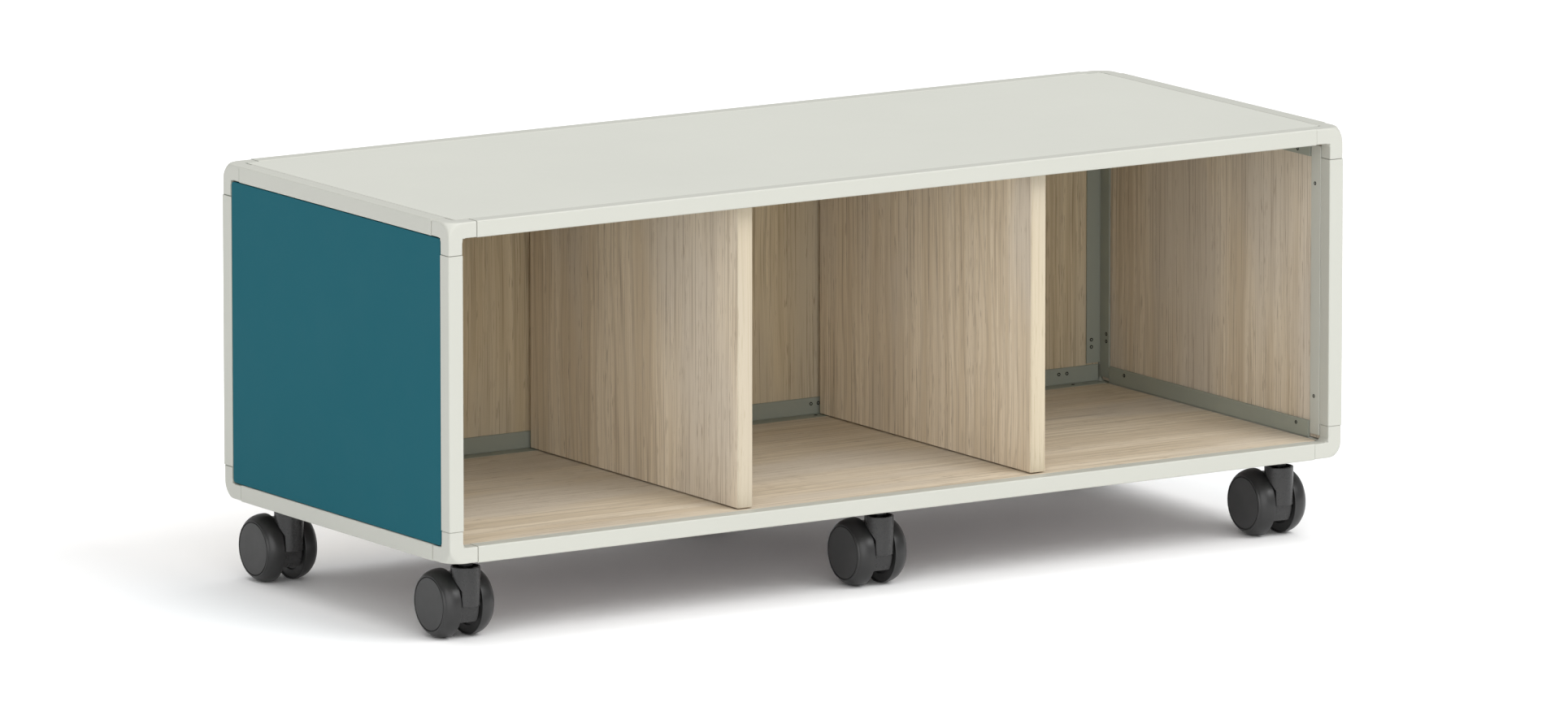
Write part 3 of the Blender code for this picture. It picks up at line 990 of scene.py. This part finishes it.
@dataclass
class Boards:
    """Top, floor, back, two-layer sides and the two dividers."""

    finishes: FinishBook
    edge: float = 0.0198
    corner: float = 0.0042
    ease: float = 0.0005
    inner: float = 0.0166
    top_face: float = 0.0003
    skin: Span = (0.0006, 0.0082)
    lining: float = 0.0085
    floor_side: float = 0.0215
    floor_back: float = 0.0362
    floor_z: Span = (0.0023, 0.0187)
    divider_middles: Span = (0.403, 0.797)
    divider_half: float = 0.01
    divider_end: float = 0.0235
    divider_z: Span = (0.0201, 0.3650)
    white: Colour = (0.545, 0.552, 0.502)
    backing: Colour = (0.400, 0.365, 0.358)
    teal: Colour = (0.0085, 0.100, 0.130)

    def plate(self, name: str, spans: Sequence[Span], flips: Sequence[int], normal: int,
              finish: bpy.types.Material, slot: str) -> bpy.types.Object:
        """One flat board with rounded corners and eased edges.

        Args:
            name: the node it stands for.
            spans: the spans it fills.
            flips: which axes are measured from the far side.
            normal: the axis across its thickness.
            finish: its material.
            slot: the record's finish it follows.

        Returns:
            The board.
        """
        shell = Shell()
        shell.bar(placed(spans, flips), normal, self.corner, self.ease, 0.0, 8)
        return fit(shell.object(name + "_piece", [finish]), CABINET, slot, name)

    # Each board's shade is partly painted shade: the back, the linings and the floor are darkened
    # for the shade inside the bays, and the dividers are lightened a little; the rest is tone that
    # differs from board to board.
    def wood(self, name: str, grain: Grain, seed: float, shade: float,
             warmth: Colour = (1.0, 1.0, 1.0)) -> bpy.types.Material:
        """A wood finish with its own figure and a lightness that is partly painted shade."""
        return self.finishes.get(name + "_wood", WoodFace(grain, seed, shade, warmth))

    def skins(self) -> None:
        """Top, floor and back."""
        x = (self.edge, WIDTH - self.edge)
        y = (self.edge, DEPTH - self.edge)
        z = (self.edge, HEIGHT - self.edge)
        top = self.finishes.get("top_laminate", Laminate(self.white, 0.46))
        self.plate("top_panel", (x, y, (self.top_face, self.inner)), (0, 0, 1), 2, top, "top_board")
        floor = ((self.floor_side, WIDTH - self.floor_side), (self.edge, DEPTH - self.floor_back),
                 self.floor_z)
        # Painted shade: the floor board's wood is darkened for the shade inside the bays.
        board = self.plate("floor_board", floor, (0, 0, 0), 2,
                           self.wood("floor", Grain.ALONG_LENGTH, 2.0, 0.90), "wood_board")
        backing = self.finishes.get("backing_laminate", Laminate(self.backing, 0.55))
        dress_side(board, (0.0, 0.0, -1.0), backing)
        # Painted shade: the back board's wood is darkened for the shade deep in the bays.
        self.plate("back_panel", (x, (self.skin[0], self.inner), z), (0, 1, 0), 1,
                   self.wood("back", Grain.UPRIGHT, 5.0, 0.82, (0.99, 0.96, 0.85)), "wood_board")

    def sides(self) -> None:
        """Teal outer boards and wood linings."""
        y = (self.edge, DEPTH - self.edge)
        z = (self.edge, HEIGHT - self.edge)
        teal = self.finishes.get("side_laminate", Laminate(self.teal, 0.55, 0.06))
        for label, flip in (("left", 0), ("right", 1)):
            self.plate(label + "_side_panel", (self.skin, y, z), (flip, 0, 0), 0, teal, "side_skin")
            # Painted shade: the linings' wood is darkened for the shade inside the bays.
            self.plate(label + "_side_lining", ((self.lining, self.inner), y, z), (flip, 0, 0), 0,
                       self.wood(label + "_side", Grain.UPRIGHT, 9.0 + 4.0 * flip, 0.86),
                       "wood_board")

    def dividers(self) -> None:
        """Two upright boards with softly rounded long edges and a plainer front band."""
        band = self.finishes.get("edge_band", WoodFace(
            Grain.UPRIGHT, seed=40.0, shade=0.79, warmth=(1.0, 0.99, 0.93),
            light=(0.660, 0.580, 0.455), dark=(0.600, 0.515, 0.400), grey=(0.610, 0.545, 0.455),
            line=(0.420, 0.340, 0.245), contrast=0.5))
        half = self.divider_half
        for label, middle, seed in zip(("left", "right"), self.divider_middles, (21.0, 31.0)):
            shell = Shell()
            spans = ((middle - half, middle + half),
                     (self.divider_end, DEPTH - self.divider_end), self.divider_z)
            shell.bar(spans, 2, radius=0.0018, end=0.0008, steps=6)
            item = shell.object(label + "_divider_piece",
                                [self.wood(label + "_divider", Grain.UPRIGHT, seed, 1.02)])
            dress_side(item, (0.0, -1.0, 0.0), band)
            fit(item, CABINET, "divider_board", label + "_divider")

    def build(self) -> None:
        """Build every board."""
        self.skins()
        self.sides()
        self.dividers()


# ---------------------------------------------------------------- repeated screws


@dataclass
class ScrewSet:
    """Flat-headed socket screws laid out by a geometry tree."""

    name: str
    radius: float = 0.0021
    height: float = 0.0005
    socket: float = 0.0009
    head_sides: int = 20
    socket_share: float = 0.55
    seed: int = 7
    places: list[tuple[Point, Point]] = field(default_factory=list)

    def tree(self, finish: bpy.types.Material) -> bpy.types.NodeTree:
        """The node tree that sets a socket-head screw on every point.

        Args:
            finish: the screws' material.

        Returns:
            The node group.
        """
        group = bpy.data.node_groups.new(self.name + "_layout", "GeometryNodeTree")
        face = group.interface
        face.new_socket("Points", in_out="INPUT", socket_type="NodeSocketGeometry")
        for label in ("Head Radius", "Head Height", "Socket Depth"):
            face.new_socket(label, in_out="INPUT", socket_type="NodeSocketFloat")
        face.new_socket("Screws", in_out="OUTPUT", socket_type="NodeSocketGeometry")

        def node(kind: str, **settings: object) -> bpy.types.Node:
            """Add one node with its settings."""
            made = group.nodes.new(kind)
            for key, value in settings.items():
                setattr(made, key, value)
            return made

        link = group.links.new
        given = node("NodeGroupInput")
        result = node("NodeGroupOutput")
        head = node("GeometryNodeMeshCylinder", fill_type="NGON")
        head.inputs["Vertices"].default_value = self.head_sides
        link(given.outputs["Head Radius"], head.inputs["Radius"])
        link(given.outputs["Head Height"], head.inputs["Depth"])
        rim = node("GeometryNodeExtrudeMesh", mode="FACES")
        rim.inputs["Offset Scale"].default_value = 0.0
        link(head.outputs["Mesh"], rim.inputs["Mesh"])
        link(head.outputs["Top"], rim.inputs["Selection"])
        draw_in = node("GeometryNodeScaleElements")
        draw_in.inputs["Scale"].default_value = self.socket_share
        link(rim.outputs["Mesh"], draw_in.inputs["Geometry"])
        link(rim.outputs["Top"], draw_in.inputs["Selection"])
        sink = node("GeometryNodeExtrudeMesh", mode="FACES")
        link(draw_in.outputs["Geometry"], sink.inputs["Mesh"])
        link(rim.outputs["Top"], sink.inputs["Selection"])
        deep = node("ShaderNodeMath", operation="MULTIPLY")
        deep.inputs[1].default_value = -1.0
        link(given.outputs["Socket Depth"], deep.inputs[0])
        link(deep.outputs[0], sink.inputs["Offset Scale"])
        facing = node("GeometryNodeInputNamedAttribute", data_type="FLOAT_VECTOR")
        facing.inputs["Name"].default_value = "facing"
        turn = node("FunctionNodeAlignRotationToVector", axis="Z")
        link(facing.outputs["Attribute"], turn.inputs["Vector"])
        spin = node("FunctionNodeRandomValue", data_type="FLOAT")
        spin.inputs[3].default_value = math.tau
        spin.inputs["Seed"].default_value = self.seed
        about = node("FunctionNodeAxisAngleToRotation")
        about.inputs["Axis"].default_value = (0.0, 0.0, 1.0)
        link(spin.outputs[1], about.inputs["Angle"])
        both = node("FunctionNodeRotateRotation", rotation_space="LOCAL")
        link(turn.outputs[0], both.inputs[0])
        link(about.outputs[0], both.inputs[1])
        lay = node("GeometryNodeInstanceOnPoints")
        link(given.outputs["Points"], lay.inputs["Points"])
        link(sink.outputs["Mesh"], lay.inputs["Instance"])
        link(both.outputs[0], lay.inputs["Rotation"])
        real = node("GeometryNodeRealizeInstances")
        link(lay.outputs[0], real.inputs[0])
        dress = node("GeometryNodeSetMaterial")
        dress.inputs["Material"].default_value = finish
        link(real.outputs[0], dress.inputs["Geometry"])
        link(dress.outputs[0], result.inputs["Screws"])
        return group

    def add(self, point: Point, facing: Point, flips: Sequence[int] = (0, 0, 0)) -> None:
        """Add one screw, measured from the sides that flips names.

        Args:
            point: the face's point under the head.
            facing: the way the head looks.
            flips: which axes are measured from the far side.
        """
        place = [size - value if flip else value for value, size, flip in zip(point, SIZES, flips)]
        look = [-value if flip else value for value, flip in zip(facing, flips)]
        self.places.append((tuple(place), tuple(look)))

    def build(self, finish: bpy.types.Material, slot: str) -> None:
        """Lay out the screws and tie them to the cabinet.

        Args:
            finish: their material.
            slot: the record's finish they follow.
        """
        mesh = bpy.data.meshes.new(self.name + "_points")
        points = np.array([place for place, _ in self.places]) - ORIGIN
        looks = np.array([look for _, look in self.places])
        points = points + looks * (self.height * 0.3)
        mesh.from_pydata(points.tolist(), [], [])
        facing = mesh.attributes.new("facing", "FLOAT_VECTOR", "POINT")
        facing.data.foreach_set("vector", looks.astype(np.float32).ravel())
        item = bpy.data.objects.new(self.name + "_points", mesh)
        bpy.context.scene.collection.objects.link(item)
        group = self.tree(finish)
        layout = item.modifiers.new("layout", "NODES")
        layout.node_group = group
        sizes = {"Head Radius": self.radius, "Head Height": self.height,
                 "Socket Depth": self.socket}
        for entry in group.interface.items_tree:
            if entry.name in sizes:
                layout[entry.identifier] = sizes[entry.name]
        made = baked(item)
        if finish.name not in made.materials:
            made.materials.append(finish)
        fit(shaded(self.name, made, 30.0), CABINET, slot)


@dataclass
class Fasteners:
    """Every screw of the cabinet."""

    finishes: FinishBook
    fin_face: float = TUBE + 0.001
    plate_pitch: float = 0.0135
    plate_face: float = -0.0003

    def panel_screws(self) -> None:
        """Screws through the fins into the boards."""
        dark = self.finishes.get("dark_screw_steel", PlatedSteel((0.030, 0.031, 0.030), 0.55))
        screws = ScrewSet("panel_screws")
        into_side, into_back = (1.0, 0.0, 0.0), (0.0, 1.0, 0.0)
        for flip in (0, 1):
            for top in (0, 1):
                screws.add((TUBE, 0.0295, 0.0685), into_side, (flip, 0, top))
                for z in (0.0671, 0.0758):
                    screws.add((TUBE, 0.0324, z), into_side, (flip, 1, top))
                screws.add((self.fin_face, 0.0635, 0.0330), into_side, (flip, 0, top))
                screws.add((self.fin_face, 0.0715, 0.0324), into_side, (flip, 1, top))
                for z in (0.0597, 0.0683):
                    screws.add((0.0312, TUBE, z), into_back, (flip, 1, top))
                for x in (0.0655, 0.0768, 0.4118, 0.4218):
                    screws.add((x, TUBE, 0.0314), into_back, (flip, 1, top))
            for x in (0.0620, 0.4085, 0.4200):
                screws.add((x, 0.0268, TUBE), (0.0, 0.0, 1.0), (flip, 1, 0))
        screws.build(dark, "castor_steel")

    def plate_screws(self, spots: Iterable[tuple[float, float]]) -> None:
        """Screws that hold the castor plates, seen from below.

        Args:
            spots: the castors' centres.
        """
        bright = self.finishes.get("bright_screw_steel", PlatedSteel((0.45, 0.45, 0.46)))
        screws = ScrewSet("castor_plate_screws", radius=0.0026, height=0.0008, socket=0.0010)
        for x, y in spots:
            for dx in (-self.plate_pitch, self.plate_pitch):
                for dy in (-self.plate_pitch, self.plate_pitch):
                    screws.add((x + dx, y + dy, self.plate_face), (0.0, 0.0, -1.0))
        screws.build(bright, "castor_steel")


# ---------------------------------------------------------------- the castors


def eased_drum(radius: float, low: float, high: float, ease: float) -> list[tuple[float, float]]:
    """Profile of a short cylinder with softened rims.

    Args:
        radius: its radius.
        low: where it starts along its axis.
        high: where it ends.
        ease: size of the softened rim.

    Returns:
        Points as radius and place along the axis.
    """
    soft = ease * 0.3
    return [(radius - ease, low), (radius - soft, low + soft), (radius, low + ease),
            (radius, high - ease), (radius - soft, high - soft), (radius - ease, high)]


def arc(centre: tuple[float, float], radii: tuple[float, float], start: float, end: float,
        steps: int) -> list[tuple[float, float]]:
    """Points along part of an ellipse.

    Args:
        centre: its centre.
        radii: its two radii.
        start: first angle, degrees.
        end: last angle, degrees.
        steps: segments.

    Returns:
        The points.
    """
    points = []
    for step in range(steps + 1):
        angle = math.radians(start + (end - start) * step / steps)
        points.append((centre[0] + radii[0] * math.cos(angle),
                       centre[1] + radii[1] * math.sin(angle)))
    return points


@dataclass
class Castor:
    """One twin-wheel swivel castor."""

    finishes: FinishBook
    name: str
    x: float
    y: float
    trail: float = 0.0245
    drop: float = 0.0573
    outer: float = 0.0330
    boss: float = 0.0168
    boss_top: float = 0.0130
    boss_half: float = 0.0118
    boss_ease: float = 0.0006
    cup: float = 0.0148
    cup_deep: float = 0.005
    clearance: float = 0.0406
    drum: float = 0.0345
    drum_half: float = 0.0116
    drum_ease: float = 0.0005
    drum_floor: float = 0.0190
    axle_half: float = 0.0278
    axle_radius: float = 0.0040
    axle_ease: float = 0.0006
    plate_half: float = 0.0190
    steps: int = 96

    def plastic(self) -> bpy.types.Material:
        """Finish of the fork."""
        return self.finishes.get("castor_fork_plastic",
                                 MouldedPlastic((0.022, 0.022, 0.022), 0.28, 0.06))

    def wheel_finishes(self) -> list[bpy.types.Material]:
        """Finishes of a wheel's disc, of its running surface and of the groove between them; the
        groove's near-black is painted shade.
        """
        recipes = {"castor_hub_plastic": MouldedPlastic((0.034, 0.034, 0.034), 0.50, 0.06),
                   "castor_tread": MouldedPlastic((0.017, 0.017, 0.017), 0.36, 0.08),
                   # Painted shade: the groove finish is near black for the shade inside the narrow
                   # groove.
                   "castor_groove_painted_shade": MouldedPlastic((0.006, 0.006, 0.006), 0.60, 0.02)}
        return [self.finishes.get(name, finish) for name, finish in recipes.items()]

    def steel(self) -> bpy.types.Material:
        """Finish of the mount and axle."""
        return self.finishes.get("castor_blacked_steel", PlatedSteel((0.05, 0.05, 0.05), 0.45))

    def wheel_profile(self) -> tuple[list[tuple[float, float]], list[int]]:
        """Half section of a wheel from its outer face to its bore, and each band's finish.

        Returns:
            Points as radius and depth from the outer face, and material indices.
        """
        disc = [(0.0, 0.0005), (0.0150, 0.0004), (0.0270, 0.0002), (0.0295, 0.0003)]
        groove = [(0.0298, 0.0006), (0.0299, 0.0015), (0.0306, 0.0015), (0.0307, 0.0004),
                  (0.0310, 0.0001)]
        shoulder = arc((0.0316, 0.0012), (0.0009, 0.0009), -72, -20, 4)
        flank = (arc((0.0300, 0.0175), (0.0090, 0.0167), -72, 0, 14)
                 + arc((0.0382, 0.0187), (0.0008, 0.0008), 0, 80, 4))
        recess = [(0.0374, 0.0195), (0.0372, 0.0192), (0.0371, 0.0180), (0.0368, 0.0177),
                  (0.0286, 0.0177), (0.0281, 0.0173), (0.0280, 0.0162),
                  (0.0276, 0.0158), (0.0120, 0.0158), (0.0115, 0.0156), (0.0041, 0.0156),
                  (0.0041, 0.0054), (0.0, 0.0052)]
        profile = disc + groove + shoulder + flank + recess
        first = len(disc) + len(groove)
        last = first + len(shoulder) + len(flank)
        disc_slot, tread_slot, groove_shade_slot = range(3)
        slots = [tread_slot if first <= band < last else disc_slot
                 for band in range(len(profile) - 1)]
        slots[len(disc) - 1:first - 2] = [groove_shade_slot] * (len(groove) - 1)
        return profile, slots

    def wheels(self) -> None:
        """Both wheels."""
        profile, slots = self.wheel_profile()
        for label, side in (("left", -1), ("right", 1)):
            shell = Shell()
            centre = (self.x + side * self.outer, self.y + self.trail, -self.drop)
            shell.lathe(profile, centre, 0, -side, self.steps, slots)
            name = f"{self.name}_{label}_wheel"
            item = shell.object(name + "_piece", self.wheel_finishes(), 32.0)
            fit(item, name + "_body", "castor_wheel", name)

    def tool(self, centre: Point, radius: float, length: float, axis: int,
             steps: int = 96) -> bpy.types.Object:
        """A plain cylinder that cuts or joins the fork.

        Args:
            centre: its centre.
            radius: its radius.
            length: its length.
            axis: the axis it lies along.
            steps: segments.

        Returns:
            The tool.
        """
        shell = Shell()
        shell.lathe([(radius, -length / 2), (radius, length / 2)], centre, axis, 1.0, steps)
        return shell.object("fork_tool", [self.plastic()])

    def fork(self) -> None:
        """The upright boss with its cup, joined to the flat-footed drum between the wheels."""
        axle = (self.x, self.y + self.trail, -self.drop)
        body = Shell()
        body.lathe(eased_drum(self.boss, 0.0, self.drop - self.boss_top, self.boss_ease),
                   (self.x, self.y, -self.drop), 2, 1.0, 96)
        item = body.object(self.name + "_fork_piece", [self.plastic()])
        tools = []
        slab = 0.02
        for side in (-1, 1):
            centre = (self.x + side * (self.boss_half + slab / 2), axle[1], axle[2])
            tools.append(("DIFFERENCE", self.tool(centre, self.clearance, slab, 0, 160)))
        round_body = Shell()
        round_body.lathe(eased_drum(self.drum, -self.drum_half, self.drum_half, self.drum_ease),
                         axle, 0, 1.0, 144)
        drum = round_body.object("fork_drum", [self.plastic()])
        below = Shell()
        floor, clear = -self.drop - self.drum_floor, 0.04
        below.bar(((self.x - clear, self.x + clear), (axle[1] - clear, axle[1] + clear),
                   (floor - clear, floor)), 0, 0.0005, 0.0004)
        cut = drum.modifiers.new("flat_foot", "BOOLEAN")
        cut.operation, cut.solver = "DIFFERENCE", "EXACT"
        cut.object = below.object("fork_tool", [self.plastic()])
        tools.append(("UNION", drum))
        cup_mouth = (self.x, self.y, -self.boss_top)
        tools.append(("DIFFERENCE", self.tool(cup_mouth, self.cup, self.cup_deep * 2, 2)))
        for operation, tool in tools:
            step = item.modifiers.new("fork_step", "BOOLEAN")
            step.operation, step.solver, step.object = operation, "EXACT", tool
        mesh = baked(item)
        for tool in [cut.object] + [tool for _, tool in tools]:
            bpy.data.objects.remove(tool, do_unlink=True)
        made = shaded(self.name + "_fork_piece", mesh, 12.0)
        fit(made, self.name + "_swivel_body", "castor_body", self.name + "_fork")

    def axle(self) -> None:
        """The steel axle with chamfered ends."""
        half, radius, ease = self.axle_half, self.axle_radius, self.axle_ease
        shell = Shell()
        shell.lathe([(radius - ease, -half), (radius, -half + ease), (radius, half - ease),
                     (radius - ease, half)],
                    (self.x, self.y + self.trail, -self.drop), 0, 1.0, 40)
        fit(shell.object(self.name + "_axle_piece", [self.steel()]),
            self.name + "_swivel_body", "castor_steel", self.name + "_axle")

    def mount(self) -> None:
        """The fixed plate, collar and stem."""
        shell = Shell()
        half = self.plate_half
        shell.bar(((self.x - half, self.x + half), (self.y - half, self.y + half),
                   (-0.0003, 0.0020)), 2, 0.0040, 0.0003, 0.0, 6)
        shell.lathe([(0.0092, -0.0002), (0.0092, 0.0011), (0.0084, 0.0020), (0.0080, 0.0030),
                     (0.0080, 0.0118), (0.0074, 0.0125), (0.0056, 0.0127), (0.0054, 0.0135),
                     (0.0054, 0.0430), (0.0048, 0.0439)], (self.x, self.y, 0.0), 2, -1.0, 48)
        fit(shell.object(self.name + "_mount_piece", [self.steel()]), CABINET, "castor_steel",
            self.name + "_mount")

    def build(self) -> None:
        """Build the castor's pieces."""
        self.mount()
        self.fork()
        self.axle()
        self.wheels()


def castor_spots() -> dict[str, tuple[float, float]]:
    """Names and centres of the six castors."""
    from_front, from_back, from_side = 0.0515, 0.0555, 0.052
    rows = (("front", from_front), ("back", DEPTH - from_back))
    columns = (("left", from_side), ("mid", WIDTH / 2), ("right", WIDTH - from_side))
    return {f"{row}_{column}_castor": (x, y) for row, y in rows for column, x in columns}


# ---------------------------------------------------------------- the studio


@dataclass(frozen=True)
class SoftLamp:
    """A broad, far lamp."""

    name: str
    way: Point
    power: float
    spread: float


@dataclass
class Studio:
    """Floor, lights and camera."""

    finishes: FinishBook
    ambient: float = 0.42
    lamps: tuple[SoftLamp, ...] = (
        SoftLamp("key_lamp", (0.24, -0.48, 0.53), 1.72, 34.0),
        SoftLamp("fill_lamp", (-0.55, -0.75, 0.30), 1.46, 60.0),
        SoftLamp("top_lamp", (0.0, 0.0, 1.0), 1.25, 60.0))
    eye: Point = (-9.34284, -14.49781, 3.38953)
    look: Point = (0.53282, 0.82690, -0.17986)
    lens: float = 353.93
    sensor: float = 36.0
    sight: float = 200.0
    reach: float = 40.0

    def floor(self) -> None:
        """A wide, flat, pale floor."""
        shell = Shell()
        far = self.reach
        shell.points.append(np.array([(-far, -far, 0), (far, -far, 0), (far, far, 0),
                                      (-far, far, 0)]) + ORIGIN)
        shell.faces.append((0, 1, 2, 3))
        shell.slots.append(0)
        finish = self.finishes.get("studio_floor", PaleFloor())
        item = shell.object("studio_floor", [finish])

    def lights(self) -> None:
        """An even sky and the soft lamps."""
        world = bpy.data.worlds.new("studio_sky")
        bpy.context.scene.world = world
        world.use_nodes = True
        sky = world.node_tree.nodes["Background"]
        sky.inputs["Color"].default_value = (1.0, 1.0, 1.0, 1.0)
        sky.inputs["Strength"].default_value = self.ambient
        for lamp in self.lamps:
            data = bpy.data.lights.new(lamp.name, "SUN")
            data.energy = lamp.power
            data.angle = math.radians(lamp.spread)
            item = bpy.data.objects.new(lamp.name, data)
            bpy.context.scene.collection.objects.link(item)
            item.rotation_euler = Vector(lamp.way).to_track_quat("Z", "Y").to_euler()

    def camera(self) -> None:
        """A long lens at a low angle from the front left."""
        data = bpy.data.cameras.new("camera")
        data.lens = self.lens
        data.sensor_width = self.sensor
        data.clip_end = self.sight
        item = bpy.data.objects.new("camera", data)
        bpy.context.scene.collection.objects.link(item)
        item.location = self.eye
        item.rotation_euler = Vector(self.look).to_track_quat("-Z", "Y").to_euler()
        bpy.context.scene.camera = item
        bpy.context.scene.view_settings.view_transform = "Standard"

    def build(self) -> None:
        """Set up the studio."""
        self.floor()
        self.lights()
        self.camera()


def main() -> None:
    """Build the unit and its studio in order."""
    logging.basicConfig(level=logging.INFO, format="%(name)s: %(message)s")
    finishes = FinishBook()
    TubeFrame(finishes).build()
    CornerCastings(finishes).build()
    Boards(finishes).build()
    spots = castor_spots()
    for name, (x, y) in spots.items():
        Castor(finishes, name, x, y).build()
    fasteners = Fasteners(finishes)
    fasteners.panel_screws()
    fasteners.plate_screws(spots.values())
    Studio(finishes).build()


if __name__ == "__main__":
    main()
